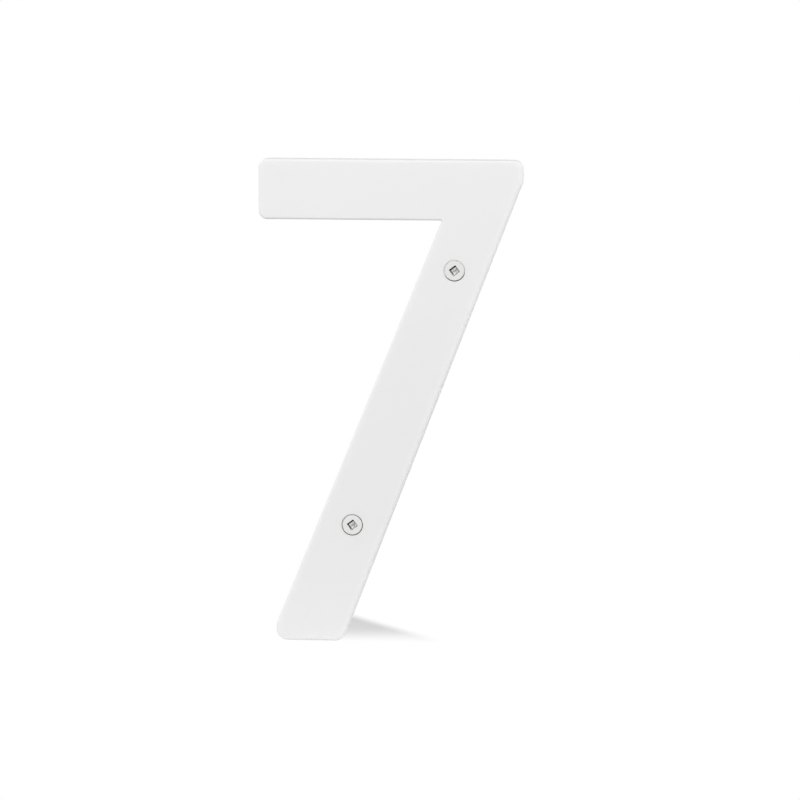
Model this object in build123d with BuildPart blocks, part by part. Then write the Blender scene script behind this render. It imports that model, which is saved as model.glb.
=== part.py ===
from build123d import *
import os
from math import cos, radians, sin, tan

# House number seven, fixed flat to a wall with two countersunk screws.
# Seen from the front, +X is to the right and +Z is up. The wall is the plane Y = 0, and the
# plate stands in front of it, towards -Y. The origin is midway between the two screws.
# Sizes are in millimetres and angles in degrees.

# Plate outline
number_height = 152.4
number_width = 83.2
bar_depth = 19.0
leg_lean = 21.8
leg_top_width = 19.1
leg_foot_width = 21.4
top_tip_cut = 6.9
foot_tip_cut = 5.2
corner_radius = 2.7
foot_corner_radius = 3.3
tip_radius = 1.0
notch_radius = 0.4

# Plate section
plate_thickness = 5.0
front_edge_radius = 0.7
back_edge_break = 0.2

# Screw places, along the middle line of the leg
screw_spacing = 87.0
top_to_screw = 34.7

# Screws
screw_length = 25.4
thread_diameter = 3.5
neck_diameter = 3.0
head_diameter = 6.2
head_angle = 82.0
head_rim = 0.5
head_rim_radius = 0.2
point_length = 4.0
point_diameter = 0.4
socket_width = 2.5
socket_floor_width = 1.9
socket_depth = 1.5
socket_point = 0.6
socket_turn = 36.5

# Fits between screws and plate
shank_clearance = 0.25
mouth_clearance = 0.35
seat_clearance = 0.03

# Heights of the outline above the middle of the screws
lean = radians(leg_lean)
screw_x = screw_spacing / 2 * sin(lean)
screw_z = screw_spacing / 2 * cos(lean)
top_z = screw_z + top_to_screw
under_z = top_z - bar_depth
foot_z = top_z - number_height


def leg_edge(z, side):
    """X of a straight, leaning edge of the leg at height z: side is -1 for left, 1 for right."""
    share = (z - foot_z) / (under_z - foot_z)
    width = leg_foot_width + (leg_top_width - leg_foot_width) * share
    return z * tan(lean) + side * width / 2 / cos(lean)


# The two sharp tips of the numeral, top right and bottom left, are cut off upright
right_x = leg_edge(top_z - top_tip_cut, 1)
left_x = right_x - number_width
foot_left_x = leg_edge(foot_z + foot_tip_cut, -1)

outline = [
    ((left_x, top_z), corner_radius),
    ((right_x, top_z), corner_radius),
    ((right_x, top_z - top_tip_cut), tip_radius),
    ((leg_edge(foot_z, 1), foot_z), foot_corner_radius),
    ((foot_left_x, foot_z), foot_corner_radius),
    ((foot_left_x, foot_z + foot_tip_cut), tip_radius),
    ((leg_edge(under_z, -1), under_z), notch_radius),
    ((left_x, under_z), corner_radius),
]
corners = [corner for corner, radius in outline]
radii = [radius for corner, radius in outline]

screw_points = [(screw_x, screw_z), (-screw_x, -screw_z)]

# The head's cone rests on the countersink, and its rim stands in the wider mouth
half_angle = radians(head_angle / 2)
mouth_radius = head_diameter / 2 + mouth_clearance
hole_radius = thread_diameter / 2 + shank_clearance
cone_sink = mouth_clearance / tan(half_angle) - seat_clearance
head_top = plate_thickness - cone_sink + head_rim
cone_height = (head_diameter - neck_diameter) / 2 / tan(half_angle)

wall_plane = Plane.XZ
front_plane = wall_plane.offset(plate_thickness)
head_plane = wall_plane.offset(head_top)

os.makedirs("parts", exist_ok=True)

# Number plate
with BuildPart() as number_plate:
    with BuildSketch(wall_plane):
        with BuildLine():
            FilletPolyline(*corners, radius=radii, close=True)
        make_face()
    extrude(amount=plate_thickness)
    front_face = number_plate.faces().sort_by(Axis.Y)[0]
    fillet(front_face.edges(), radius=front_edge_radius)
    back_face = number_plate.faces().sort_by(Axis.Y)[-1]
    chamfer(back_face.edges(), length=back_edge_break)
    with Locations(front_plane):
        with Locations(*screw_points):
            CounterSinkHole(
                radius=hole_radius,
                counter_sink_radius=mouth_radius,
                depth=plate_thickness,
                counter_sink_angle=head_angle,
            )
number_plate.part.label = "number_plate"
export_step(number_plate.part, "parts/number_plate.step")

# One screw along Z, with the top of its head at Z = 0 and its thread starting at the wall
cone_end = head_rim + cone_height
thread_end = screw_length - point_length
with BuildPart() as screw:
    with BuildSketch(Plane.XZ):
        with BuildLine():
            Polyline(
                (0, 0),
                (head_diameter / 2, 0),
                (head_diameter / 2, -head_rim),
                (neck_diameter / 2, -cone_end),
                (neck_diameter / 2, -head_top),
                (thread_diameter / 2, -head_top),
                (thread_diameter / 2, -thread_end),
                (point_diameter / 2, -screw_length),
                (0, -screw_length),
                close=True,
            )
        make_face()
    revolve(axis=Axis.Z)
    rim_edge = screw.faces().sort_by(Axis.Z)[-1].edges()
    fillet(rim_edge, radius=head_rim_radius)
    with BuildSketch():
        Rectangle(socket_width, socket_width, rotation=socket_turn)
    with BuildSketch(Plane.XY.offset(-socket_depth)):
        Rectangle(socket_floor_width, socket_floor_width, rotation=socket_turn)
    loft(mode=Mode.SUBTRACT)
    with Locations((0, 0, -socket_depth - socket_point / 2)):
        Cone(
            bottom_radius=0,
            top_radius=socket_floor_width / 2,
            height=socket_point,
            mode=Mode.SUBTRACT,
        )

# Both screws, seated in the plate
with BuildPart() as mounting_screws:
    with Locations(head_plane):
        with Locations(*screw_points):
            add(screw.part)
mounting_screws.part.label = "mounting_screws"
export_step(mounting_screws.part, "parts/mounting_screws.step")
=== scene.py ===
"""Looks of a white acrylic numeral seven with its two wall screws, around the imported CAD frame."""

import math

import bpy
from mathutils import Matrix, Vector


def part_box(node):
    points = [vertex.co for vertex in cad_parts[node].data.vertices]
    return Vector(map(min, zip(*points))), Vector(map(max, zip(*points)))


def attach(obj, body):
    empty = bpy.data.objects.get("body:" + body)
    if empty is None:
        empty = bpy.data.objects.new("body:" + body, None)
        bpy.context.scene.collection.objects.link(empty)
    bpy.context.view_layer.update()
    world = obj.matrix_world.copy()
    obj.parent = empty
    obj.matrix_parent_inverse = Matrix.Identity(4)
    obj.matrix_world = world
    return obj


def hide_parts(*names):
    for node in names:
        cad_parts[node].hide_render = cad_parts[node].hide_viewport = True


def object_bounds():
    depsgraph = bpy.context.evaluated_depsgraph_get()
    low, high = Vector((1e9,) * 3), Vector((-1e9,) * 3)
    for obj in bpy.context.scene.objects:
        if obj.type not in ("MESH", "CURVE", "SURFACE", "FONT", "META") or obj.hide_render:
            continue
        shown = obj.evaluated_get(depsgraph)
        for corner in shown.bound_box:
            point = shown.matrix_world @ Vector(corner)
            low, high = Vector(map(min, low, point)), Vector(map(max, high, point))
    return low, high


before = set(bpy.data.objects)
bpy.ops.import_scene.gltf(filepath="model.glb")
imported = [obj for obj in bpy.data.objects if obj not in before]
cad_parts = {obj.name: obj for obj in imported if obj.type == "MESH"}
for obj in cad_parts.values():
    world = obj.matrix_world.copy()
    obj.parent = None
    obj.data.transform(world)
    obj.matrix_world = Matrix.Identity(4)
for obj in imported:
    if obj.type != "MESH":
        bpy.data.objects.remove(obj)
CAD_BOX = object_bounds()

MM = 0.001

# Camera: a long lens, a little to the right of the number and a little above its middle.
# Angles are in degrees and lengths in metres.
VIEW_AZIMUTH = 6.5
VIEW_ELEVATION = 6.2
VIEW_DISTANCE = 2.1
VIEW_WIDTH = 252.15 * MM
VIEW_AIM = Vector((-1.57 * MM, 0.0, -1.12 * MM))

# Lamps and floor, with lengths in metres
LAMP_DISTANCE = 1.6
FLOOR_RADIUS = 0.9
FLOOR_SIDES = 64

# Lightness of the floor near the foot and far from it, and the distances from the foot, in
# millimetres, where it starts to fall and where it stops
FLOOR_ALBEDO = 0.66
FLOOR_FAR_ALBEDO = 0.34
FLOOR_FADE = (30, 80)

# Lightness of the floor in front of the number, and in a narrow strip under its face's lower edge.
# Then, in millimetres: from where to where along Y the strip lightens, from where to where both of
# them take over from the rest of the floor, and the distances from the foot where they fade in
FRONT_ALBEDO = 0.60
STRIP_ALBEDO = 1.0
STRIP_LIGHTENS = (-6.2, -5.0)
STRIP_STARTS = (-3.0, -4.5)
STRIP_FADE = (80, 40)

# Sides of the wedge of floor, behind the foot and to its right, where the floor's own lit look shows
# in the white: partly painted shade, the wedge's shape and fade, and partly the number's cast
# shadow. Each is a direction, in degrees from +X, and how far along it from the foot the wedge is
# gone and is whole, in mm
SHADOW_FAR_SIDE = (32, 37.5, 30)
SHADOW_NEAR_SIDE = (90, -11, 32)
SHADOW_LEFT_SIDE = (0, -9, 3)
SHADOW_DEPTH = 0.66

# Values between which most of a noise lies
NOISE_LOW = 0.3
NOISE_HIGH = 0.7

# Plate: the leg's lean as the CAD has it, and the acrylic's looks. A surface is a face or an edge
# by how squarely it looks to the front or the back, and tool marks run across the edges.
LEG_LEAN = math.radians(21.8)
PLATE_TINT = 0.845
PLATE_PALE_TINT = 0.865
FACE_ROUGHNESS = (0.14, 0.24)
EDGE_ROUGHNESS = 0.62
FACE_SQUARENESS = 0.998
EDGE_SQUARENESS = 0.93
TOOL_MARK_SCALE = (2600.0, 40.0, 2600.0)

# Countersinks, in millimetres: the mouth's radius as the CAD has it, how far in from there their
# painted shade blends in, and the depths under the screw heads' tops where it is whole and is gone
MOUTH_RADIUS = 3.45
MOUTH_BLEND = 0.15
SUNK_WHOLE = 1.6
SUNK_GONE = 2.6

# Painted shade in the gaps round the screw heads, heaviest towards the bottom where the heads'
# shadows fall, in millimetres: where the least shaded spot lies from the screw's axis, across and
# up, and how far from that spot the shade starts and is whole
UPPER_SUNK_SHADE = (-0.06, 0.32, 3.28, 3.55)
LOWER_SUNK_SHADE = (-0.06, 0.12, 2.85, 3.5)
# Countersink tints away from the painted shade and in it
SUNK_UNSHADED_TINT = 0.9
SUNK_SHADE_TINT = 0.02

# Screws, in millimetres, as the CAD has them
HEAD_RADIUS = 3.1
HEAD_ANGLE = math.radians(82)
HEAD_RIM = 0.5
HEAD_RIM_RADIUS = 0.2
NECK_RADIUS = 1.5
THREAD_RADIUS = 1.75
SCREW_LENGTH = 25.4
POINT_LENGTH = 4.0
POINT_RADIUS = 0.2
SOCKET_WIDTH = 2.5
SOCKET_FLOOR_WIDTH = 1.9
SOCKET_DEPTH = 1.5
SOCKET_POINT = 0.6
SOCKET_TURN = math.radians(36.5)

# What only this script makes on a screw: its thread and a bevel round its socket, in millimetres.
# A ridge's half widths at its foot and its crest are shares of the pitch, and the crest narrows to
# the screw's point by a power.
THREAD_ROOT_RADIUS = 1.2
THREAD_PITCH = 1.41
THREAD_FADE = 1.2
RIDGE_FOOT = 0.24
RIDGE_CREST = 0.03
CREST_TAPER = 0.8
SOCKET_BEVEL = 0.08

# Mesh of a screw: the drill point's tip and rim as shares of the socket floor's half width, the
# rim's drop in millimetres, the head's flat as a share of its radius, how fine the mesh is, and the
# angle from which its edges are sharp
DRILL_TIP_SHARE = 0.02
DRILL_RIM_SHARE = 0.97
DRILL_RIM_DROP = 0.02
HEAD_FLAT_SHARE = 0.8
RIM_STEPS = 5
SCREW_SEGMENTS = 64
ROWS_PER_PITCH = 24
SHARP_ANGLE = math.radians(32)

# Steel: its looks, and those of the thread's roots and the socket: painted shade in the roots and on
# the socket's walls, a painted lit wall at its lower right, a pale floor, and more painted shade
# along its upper walls
STEEL_TINT = (0.75, 0.75, 0.745, 1.0)
STEEL_PALE_TINT = (0.83, 0.83, 0.82, 1.0)
STEEL_ROUGHNESS = (0.55, 0.65)
# Painted shade in the thread's roots
ROOT_SHADE_TINT = 0.30
# Painted shade on the socket's walls, and painted light on its lower right wall
SHADED_WALL_TINT = 0.3
LIT_WALL_TINT = 0.95
SOCKET_FLOOR_TINT = 0.9
SOCKET_ROUGHNESS = 0.5
# Painted shade along the socket's upper walls, dull and darkest on the upper left one
PAINTED_SHADE_TINT = 0.02
PAINTED_SHADE_ROUGHNESS = 1.0
THIN_PAINTED_SHADE = 0.45

# Where those looks start and are whole, in millimetres: out from the thread's crest, up from the
# head's top, up from the socket's floor, and out from the screw's axis. The socket's look ends a
# margin below its drill point.
ROOT_BLEND = (-0.08, -0.42)
SOCKET_BLEND = (-0.05, -0.35)
SOCKET_MARGIN = 0.1
SOCKET_FLOOR_BLEND = 0.06
PAINTED_SHADE_BLEND = (0.55, 0.95)
LIT_WALL_BLEND = (0.7, 1.0)


def link(obj):
    """Put a new object in the scene."""
    bpy.context.scene.collection.objects.link(obj)
    return obj


def add_facing(name, data, azimuth, elevation, distance, aim):
    """Camera or lamp that looks at a point, from degrees to the right of the number's front and up."""
    turn = math.radians(azimuth)
    rise = math.radians(elevation)
    away = Vector((
        math.sin(turn) * math.cos(rise),
        -math.cos(turn) * math.cos(rise),
        math.sin(rise),
    ))
    facing = link(bpy.data.objects.new(name, data))
    facing.location = aim + away * distance
    facing.rotation_euler = away.to_track_quat("Z", "Y").to_euler()
    return facing


def add_camera():
    """Camera at the photograph's viewing angle, aimed at what lies in the photograph's middle."""
    data = bpy.data.cameras.new("camera")
    data.lens = data.sensor_width * VIEW_DISTANCE / VIEW_WIDTH
    camera = add_facing("camera", data, VIEW_AZIMUTH, VIEW_ELEVATION, VIEW_DISTANCE, VIEW_AIM)
    bpy.context.scene.camera = camera


def add_area_light(name, azimuth, elevation, size, level, reflected=True):
    """Square soft light that faces the number; level 1 lights a white card facing it to white."""
    data = bpy.data.lights.new(name, "AREA")
    data.size = size
    data.energy = level * (math.pi * LAMP_DISTANCE) ** 2
    light = add_facing(name, data, azimuth, elevation, LAMP_DISTANCE, Vector((0.0, 0.0, 0.0)))
    light.visible_glossy = reflected


def grey(level):
    """Plain grey as a colour."""
    return (level, level, level, 1.0)


def add_node(tree, kind, inputs=None, **settings):
    """New shader node with its settings and its sockets' own values."""
    node = tree.nodes.new(kind)
    for key, value in settings.items():
        setattr(node, key, value)
    for key, value in (inputs or {}).items():
        node.inputs[key].default_value = value
    return node


def feed(tree, source, socket):
    """Link an output to a socket, or set a constant on it."""
    if isinstance(source, bpy.types.NodeSocket):
        tree.links.new(source, socket)
    else:
        socket.default_value = source


def combine(tree, operation, *values):
    """Math node on sockets or constants."""
    node = add_node(tree, "ShaderNodeMath", operation=operation)
    for value, socket in zip(values, node.inputs):
        feed(tree, value, socket)
    return node.outputs[0]


def vector_math(tree, operation, vector, constant, output):
    """Vector math node on a vector and a constant one."""
    node = add_node(tree, "ShaderNodeVectorMath", {1: constant}, operation=operation)
    tree.links.new(vector, node.inputs[0])
    return node.outputs[output]


def axis(tree, vector, name):
    """One part of a vector: X, Y or Z."""
    node = add_node(tree, "ShaderNodeSeparateXYZ")
    tree.links.new(vector, node.inputs[0])
    return node.outputs[name]


def length(tree, vector):
    """Length of a vector."""
    return vector_math(tree, "LENGTH", vector, (0.0, 0.0, 0.0), "Value")


def along(tree, place, turn):
    """How far a place lies along a direction in the XY plane that is turned from +X."""
    return vector_math(tree, "DOT_PRODUCT", place, (math.cos(turn), math.sin(turn), 0.0), "Value")


def ramp(tree, value, start, end, low=0.0, high=1.0, shape="SMOOTHSTEP"):
    """Value that goes from low, at start, to high, at end, and stays there beyond them."""
    limits = {"From Min": start, "From Max": end, "To Min": low, "To Max": high}
    node = add_node(tree, "ShaderNodeMapRange", limits, interpolation_type=shape)
    tree.links.new(value, node.inputs["Value"])
    return node.outputs["Result"]


def ramp_mm(tree, value, span, low=0.0, high=1.0):
    """Smooth ramp over a length, from the start to the end of a span in millimetres."""
    start, end = span
    return ramp(tree, value, start * MM, end * MM, low, high)


def mix(tree, factor, first, second, kind="FLOAT"):
    """Blend of two numbers, or of two colours with the kind RGBA."""
    node = add_node(tree, "ShaderNodeMix", data_type=kind)
    tree.links.new(factor, node.inputs["Factor"])
    feed(tree, first, node.inputs["A"])
    feed(tree, second, node.inputs["B"])
    return node.outputs["Result"]


def noise(tree, place, scale, detail, distortion=0.0):
    """Noise over a place in the object."""
    values = {"Scale": scale, "Detail": detail, "Distortion": distortion}
    node = add_node(tree, "ShaderNodeTexNoise", values)
    tree.links.new(place, node.inputs["Vector"])
    return node.outputs["Fac"]


def spread(tree, pattern, span):
    """Noise spread evenly over a span of values."""
    low, high = span
    return ramp(tree, pattern, NOISE_LOW, NOISE_HIGH, low, high, "LINEAR")


def relief(tree, height, strength, depth):
    """Normal that shows a height as bumps, with their depth in millimetres."""
    node = add_node(tree, "ShaderNodeBump", {"Strength": strength, "Distance": depth * MM})
    tree.links.new(height, node.inputs["Height"])
    return node.outputs["Normal"]


def object_place(tree):
    """Place on the surface, in the object's own frame."""
    return add_node(tree, "ShaderNodeTexCoord").outputs["Object"]


def new_material(name):
    """Empty node material and its tree, with the output node."""
    material = bpy.data.materials.new(name)
    material.use_nodes = True
    tree = material.node_tree
    tree.nodes.clear()
    return material, tree, tree.nodes.new("ShaderNodeOutputMaterial")


def direct_view(tree):
    """1 for camera, glossy and transmission rays, which see the white background, else 0."""
    path = add_node(tree, "ShaderNodeLightPath").outputs
    seen = combine(tree, "MAXIMUM", path["Is Camera Ray"], path["Is Glossy Ray"])
    return combine(tree, "MAXIMUM", seen, path["Is Transmission Ray"])


def add_world(light_strength):
    """White world: full white when seen, and softer as light."""
    world = bpy.data.worlds.new("world")
    world.use_nodes = True
    bpy.context.scene.world = world
    tree = world.node_tree
    tree.nodes.clear()
    output = tree.nodes.new("ShaderNodeOutputWorld")
    background = add_node(tree, "ShaderNodeBackground", {"Color": grey(1.0)})
    strength = ramp(tree, direct_view(tree), 0.0, 1.0, light_strength, 1.0, "LINEAR")
    tree.links.new(strength, background.inputs["Strength"])
    tree.links.new(background.outputs[0], output.inputs["Surface"])


def shadow_share(tree):
    """Share of the floor's own lit look that shows: a painted wedge of shade holding the number's cast
    shadow, none elsewhere.
    """
    place = object_place(tree)
    # The wedge's shape and fade are painted shade; the cast shadow within it comes from the lamps
    share = SHADOW_DEPTH
    for angle, gone, whole in (SHADOW_FAR_SIDE, SHADOW_NEAR_SIDE, SHADOW_LEFT_SIDE):
        side = ramp_mm(tree, along(tree, place, math.radians(angle)), (gone, whole))
        share = combine(tree, "MULTIPLY", side, share)
    return share


def floor_albedo(tree):
    """Lightness of the floor, by the distance from the foot and in front of the number."""
    place = object_place(tree)
    away = length(tree, place)
    y = axis(tree, place, "Y")
    around = ramp_mm(tree, away, FLOOR_FADE, FLOOR_ALBEDO, FLOOR_FAR_ALBEDO)
    front = ramp_mm(tree, y, STRIP_LIGHTENS, FRONT_ALBEDO, STRIP_ALBEDO)
    near = combine(tree, "MULTIPLY", ramp_mm(tree, y, STRIP_STARTS), ramp_mm(tree, away, STRIP_FADE))
    return mix(tree, near, around, front)


def floor_white():
    """White with a painted wedge of shade behind the foot, holding the number's cast shadow, and plain
    white elsewhere.
    """
    material, tree, output = new_material("floor")
    lit = add_node(tree, "ShaderNodeBsdfDiffuse")
    tree.links.new(floor_albedo(tree), lit.inputs["Color"])
    white = add_node(tree, "ShaderNodeEmission", {"Color": grey(1.0), "Strength": 1.0})
    surface = add_node(tree, "ShaderNodeMixShader")
    plain = combine(tree, "SUBTRACT", 1.0, shadow_share(tree))
    tree.links.new(combine(tree, "MULTIPLY", plain, direct_view(tree)), surface.inputs["Fac"])
    tree.links.new(lit.outputs[0], surface.inputs[1])
    tree.links.new(white.outputs[0], surface.inputs[2])
    tree.links.new(surface.outputs[0], output.inputs["Surface"])
    return material


def add_floor():
    """Round floor with its middle under the foot."""
    angles = [math.tau * i / FLOOR_SIDES for i in range(FLOOR_SIDES)]
    rim = [(FLOOR_RADIUS * math.cos(a), FLOOR_RADIUS * math.sin(a), 0.0) for a in angles]
    mesh = bpy.data.meshes.new("floor")
    mesh.from_pydata(rim, [], [range(FLOOR_SIDES)])
    mesh.materials.append(floor_white())
    floor = link(bpy.data.objects.new("floor", mesh))
    foot_z = CAD_BOX[0].z
    floor.location = (foot_z * math.tan(LEG_LEAN), 0.0, foot_z)


def screw_places():
    """Middles of the two screw heads, the upper one first."""
    low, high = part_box("mounting_screws")
    x = high.x - HEAD_RADIUS * MM
    z = high.z - HEAD_RADIUS * MM
    return [Vector((x, low.y, z)), Vector((-x, low.y, -z))]


def face_distance(tree, place, centre):
    """Distance across the plate's face to a centre."""
    flat = vector_math(tree, "MULTIPLY", place, (1.0, 0.0, 1.0), "Vector")
    return vector_math(tree, "DISTANCE", flat, (centre.x, 0.0, centre.z), "Value")


def in_countersink(tree, place, places):
    """1 in the countersinks, near either screw and near the front, and 0 elsewhere."""
    distance = combine(tree, "MINIMUM", *[face_distance(tree, place, centre) for centre in places])
    inside = ramp_mm(tree, distance, (MOUTH_RADIUS, MOUTH_RADIUS - MOUTH_BLEND))
    gone_y = CAD_BOX[0].y + SUNK_GONE * MM
    whole_y = CAD_BOX[0].y + SUNK_WHOLE * MM
    return combine(tree, "MULTIPLY", inside, ramp(tree, axis(tree, place, "Y"), gone_y, whole_y))


def countersink_shade(tree, place, places):
    """1 where a countersink gets painted shade and 0 round its least shaded spot."""
    layers = []
    for centre, (across, up, start, whole) in zip(places, (UPPER_SUNK_SHADE, LOWER_SUNK_SHADE)):
        unshaded_spot = centre + Vector((across, 0.0, up)) * MM
        layers.append(ramp_mm(tree, face_distance(tree, place, unshaded_spot), (start, whole)))
    return combine(tree, "MINIMUM", *layers)


def white_acrylic(places):
    """White sheet with polished faces, satin routed edges and painted shade in the countersinks."""
    material, tree, output = new_material("white_acrylic_polished")
    shader = add_node(tree, "ShaderNodeBsdfPrincipled", {
        "IOR": 1.49,
        "Subsurface Weight": 0.4,
        "Subsurface Radius": (1.0, 1.0, 1.0),
        "Subsurface Scale": 2.0 * MM,
    })
    place = object_place(tree)

    # Edges: surfaces that turn away from the flat front and back
    normal = add_node(tree, "ShaderNodeNewGeometry").outputs["Normal"]
    squareness = combine(tree, "ABSOLUTE", axis(tree, normal, "Y"))
    edge = ramp(tree, squareness, FACE_SQUARENESS, EDGE_SQUARENESS)

    # Colour: faint cloudiness of the pigment, and painted shade in the countersinks
    cloud = noise(tree, place, scale=30.0, detail=3.0)
    tint = mix(tree, cloud, grey(PLATE_TINT), grey(PLATE_PALE_TINT), "RGBA")
    # Painted shade in the countersinks, heaviest towards the bottom
    sunk_shade = countersink_shade(tree, place, places)
    sunk_tint = mix(tree, sunk_shade, grey(SUNK_UNSHADED_TINT), grey(SUNK_SHADE_TINT), "RGBA")
    tint = mix(tree, in_countersink(tree, place, places), tint, sunk_tint, "RGBA")
    tree.links.new(tint, shader.inputs["Base Color"])

    # Roughness: wiped faces, satin edges
    wipe = noise(tree, place, scale=70.0, detail=5.0, distortion=0.6)
    rough = mix(tree, edge, spread(tree, wipe, FACE_ROUGHNESS), EDGE_ROUGHNESS)
    tree.links.new(rough, shader.inputs["Roughness"])

    # Relief: gentle waviness of the sheet on the faces, tool marks across the edges
    waves = noise(tree, place, scale=120.0, detail=2.0)
    stretched = vector_math(tree, "MULTIPLY", place, TOOL_MARK_SCALE, "Vector")
    tool_marks = noise(tree, stretched, scale=1.0, detail=2.0)
    height = mix(tree, edge, waves, tool_marks)
    tree.links.new(relief(tree, height, strength=0.12, depth=0.05), shader.inputs["Normal"])
    tree.links.new(shader.outputs[0], output.inputs["Surface"])
    return material


def thread_root(tree, z, radius):
    """1 in the roots of a screw's thread and 0 on its crests and on the head."""
    tip = -SCREW_LENGTH * MM
    point_start = (POINT_LENGTH - SCREW_LENGTH) * MM
    crest = ramp(tree, z, tip, point_start, POINT_RADIUS * MM, THREAD_RADIUS * MM, "LINEAR")
    below_crest = ramp_mm(tree, combine(tree, "SUBTRACT", radius, crest), ROOT_BLEND)
    # The thread starts at the wall, where Y is 0, and the head's top is the front of the CAD's box
    on_thread = combine(tree, "LESS_THAN", z, CAD_BOX[0].y)
    return combine(tree, "MULTIPLY", below_crest, on_thread)


def in_socket(tree, z, radius):
    """1 in a screw's socket, from just under the head's top to the drill point, and 0 elsewhere."""
    corner = (SOCKET_WIDTH / 2 + SOCKET_BEVEL) * math.sqrt(2)
    bottom = -(SOCKET_DEPTH + SOCKET_POINT + SOCKET_MARGIN)
    near_axis = combine(tree, "LESS_THAN", radius, corner * MM)
    above_bottom = combine(tree, "GREATER_THAN", z, bottom * MM)
    column = combine(tree, "MULTIPLY", near_axis, above_bottom)
    return combine(tree, "MULTIPLY", column, ramp_mm(tree, z, SOCKET_BLEND))


def wall_painted_shade(tree, place):
    """Painted shade along a socket's walls: thick on the upper left one, thin on the upper right one.
    """
    upper_left = ramp_mm(tree, along(tree, place, SOCKET_TURN + math.pi / 2), PAINTED_SHADE_BLEND)
    upper_right = ramp_mm(tree, along(tree, place, SOCKET_TURN), PAINTED_SHADE_BLEND, high=THIN_PAINTED_SHADE)
    return combine(tree, "MAXIMUM", upper_left, upper_right)


def socket_tint(tree, place, z):
    """Colours of a socket: painted shade on the walls, a painted lit wall at the lower right, and a
    pale floor.
    """
    # The lower right wall is painted lit, the others painted shaded
    lit_wall = ramp_mm(tree, along(tree, place, SOCKET_TURN - math.pi / 2), LIT_WALL_BLEND)
    walls = mix(tree, lit_wall, grey(SHADED_WALL_TINT), grey(LIT_WALL_TINT), "RGBA")
    at_floor = ramp_mm(tree, z, (SOCKET_FLOOR_BLEND - SOCKET_DEPTH, -SOCKET_DEPTH))
    return mix(tree, at_floor, walls, grey(SOCKET_FLOOR_TINT), "RGBA")


def screw_steel():
    """Bright steel, faint turning rings, painted shade in the thread roots, painted light and shade in
    the socket.
    """
    material, tree, output = new_material("screw_steel_bright")
    shader = add_node(tree, "ShaderNodeBsdfPrincipled")
    place = object_place(tree)
    z = axis(tree, place, "Z")
    radius = length(tree, vector_math(tree, "MULTIPLY", place, (1.0, 1.0, 0.0), "Vector"))
    socket = in_socket(tree, z, radius)
    # Painted shade along the socket's upper walls
    painted_shade = combine(tree, "MULTIPLY", socket, wall_painted_shade(tree, place))

    # Colour: fine grain, with painted shade in the thread's roots, and the socket's painted light and
    # shade laid over it
    grain = noise(tree, place, scale=1500.0, detail=3.0)
    tint = mix(tree, grain, STEEL_TINT, STEEL_PALE_TINT, "RGBA")
    # Painted shade in the thread's roots
    tint = mix(tree, thread_root(tree, z, radius), tint, grey(ROOT_SHADE_TINT), "RGBA")
    tint = mix(tree, socket, tint, socket_tint(tree, place, z), "RGBA")
    tint = mix(tree, painted_shade, tint, grey(PAINTED_SHADE_TINT), "RGBA")
    tree.links.new(tint, shader.inputs["Base Color"])

    # Metal and roughness: the socket is a little smoother than the rest, and the painted shade is dull
    tree.links.new(combine(tree, "SUBTRACT", 1.0, painted_shade), shader.inputs["Metallic"])
    rough = mix(tree, socket, spread(tree, grain, STEEL_ROUGHNESS), SOCKET_ROUGHNESS)
    tree.links.new(mix(tree, painted_shade, rough, PAINTED_SHADE_ROUGHNESS), shader.inputs["Roughness"])

    # Relief: turning rings, from a noise over the distance from the axis
    values = {"Scale": 9000.0, "Detail": 2.0}
    rings = add_node(tree, "ShaderNodeTexNoise", values, noise_dimensions="1D")
    tree.links.new(radius, rings.inputs["W"])
    bumps = relief(tree, rings.outputs["Fac"], strength=0.15, depth=0.01)
    tree.links.new(bumps, shader.inputs["Normal"])
    tree.links.new(shader.outputs[0], output.inputs["Surface"])
    return material


def socket_reach(angle, half_width):
    """Distance from the middle to the side of the turned square socket, at an angle."""
    turned = (angle - SOCKET_TURN + math.pi / 4) % (math.pi / 2) - math.pi / 4
    return half_width / math.cos(turned)


def head_rings():
    """Rings of a screw's head from the drill point out and down to the neck: (radius by angle, z)."""
    half = SOCKET_WIDTH / 2
    floor_half = SOCKET_FLOOR_WIDTH / 2
    rings = [
        (lambda a: floor_half * DRILL_TIP_SHARE, -SOCKET_DEPTH - SOCKET_POINT),
        (lambda a: floor_half * DRILL_RIM_SHARE, -SOCKET_DEPTH - DRILL_RIM_DROP),
        (lambda a: socket_reach(a, floor_half), -SOCKET_DEPTH),
        (lambda a: socket_reach(a, half), -SOCKET_BEVEL),
        (lambda a: socket_reach(a, half + SOCKET_BEVEL), 0.0),
        (lambda a: HEAD_FLAT_SHARE * HEAD_RADIUS, 0.0),
    ]
    for step in range(RIM_STEPS + 1):
        turn = math.pi / 2 * step / RIM_STEPS
        reach = HEAD_RADIUS - HEAD_RIM_RADIUS + HEAD_RIM_RADIUS * math.sin(turn)
        drop = -HEAD_RIM_RADIUS + HEAD_RIM_RADIUS * math.cos(turn)
        rings.append((lambda a, r=reach: r, drop))
    rings.append((lambda a: HEAD_RADIUS, -HEAD_RIM))
    cone = (HEAD_RADIUS - NECK_RADIUS) / math.tan(HEAD_ANGLE / 2)
    rings.append((lambda a: NECK_RADIUS, -HEAD_RIM - cone))
    return rings


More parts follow.
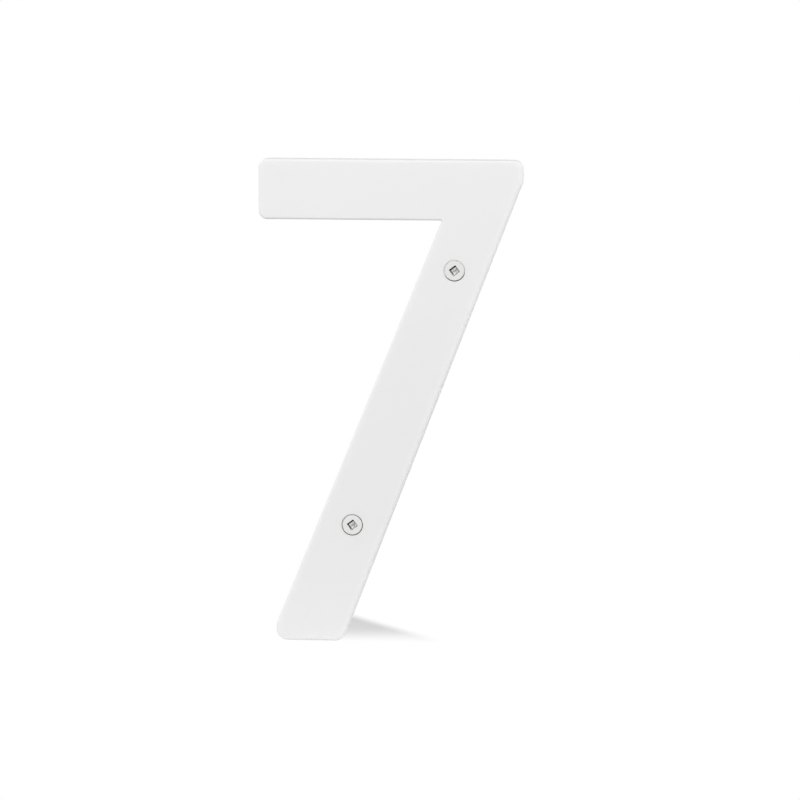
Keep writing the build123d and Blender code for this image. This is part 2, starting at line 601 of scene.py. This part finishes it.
def thread_radius(depth, angle, thread_start):
    """Radius of the threaded shank at a depth under the head's top, as a right-hand thread."""
    past_start = depth - thread_start
    blend_in = min(past_start / THREAD_FADE, 1.0)
    root = NECK_RADIUS + (THREAD_ROOT_RADIUS - NECK_RADIUS) * blend_in
    crest = NECK_RADIUS + (THREAD_RADIUS - NECK_RADIUS) * blend_in
    taper = min((SCREW_LENGTH - depth) / POINT_LENGTH, 1.0)
    root = POINT_RADIUS / 2 + (root - POINT_RADIUS / 2) * taper
    crest = POINT_RADIUS + (crest - POINT_RADIUS) * taper ** CREST_TAPER
    phase = (past_start / THREAD_PITCH + angle / math.tau) % 1.0
    ridge = (RIDGE_FOOT - abs(phase - 0.5)) / (RIDGE_FOOT - RIDGE_CREST)
    return root + (crest - root) * min(max(ridge, 0.0), 1.0)


def screw_mesh(thread_start):
    """Mesh of one screw with its axis on Z, the head's top at 0 and the point down."""
    rings = head_rings()
    rows = math.ceil((SCREW_LENGTH - thread_start) / THREAD_PITCH * ROWS_PER_PITCH)
    for row in range(rows + 1):
        depth = thread_start + (SCREW_LENGTH - thread_start) * row / rows
        rings.append((lambda a, d=depth: thread_radius(d, a, thread_start), -depth))
    count = SCREW_SEGMENTS
    angles = [SOCKET_TURN + math.tau * i / count for i in range(count)]
    points = []
    for radius_at, z in rings:
        for angle in angles:
            radius = radius_at(angle)
            points.append(Vector((radius * math.cos(angle), radius * math.sin(angle), z)) * MM)
    faces = []
    for first in range(0, (len(rings) - 1) * count, count):
        second = first + count
        for i in range(count):
            j = (i + 1) % count
            faces.append((first + j, first + i, second + i, second + j))
    faces.append(tuple(range(count)))
    last = (len(rings) - 1) * count
    faces.append(tuple(last + i for i in reversed(range(count))))
    mesh = bpy.data.meshes.new("screw")
    mesh.from_pydata(points, [], faces)
    mesh.shade_smooth()
    mesh.set_sharp_from_angle(angle=SHARP_ANGLE)
    return mesh


def add_screws(places, material):
    """Both screws in the plate's holes, in place of the plain CAD ones."""
    mesh = screw_mesh(-places[0].y / MM)
    mesh.materials.append(material)
    towards_front = Matrix.Rotation(math.radians(90), 4, "X")
    for name, place in zip(("screw_upper", "screw_lower"), places):
        screw = link(bpy.data.objects.new(name, mesh))
        screw.matrix_world = Matrix.Translation(place) @ towards_front
        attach(screw, "root")
        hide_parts("mounting_screws")


add_camera()
add_world(light_strength=0.61)
add_floor()
add_area_light("front", azimuth=14, elevation=8, size=1.6, level=0.495, reflected=False)
add_area_light("left", azimuth=-55, elevation=3, size=0.4, level=0.22, reflected=False)
add_area_light("top", azimuth=-29, elevation=47, size=0.3, level=0.12)
add_area_light("right", azimuth=95, elevation=0, size=0.8, level=0.46)

places = screw_places()
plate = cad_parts["number_plate"]
plate.material_slots[0].material = white_acrylic(places)
add_screws(places, screw_steel())

bpy.context.scene.view_settings.view_transform = "Standard"
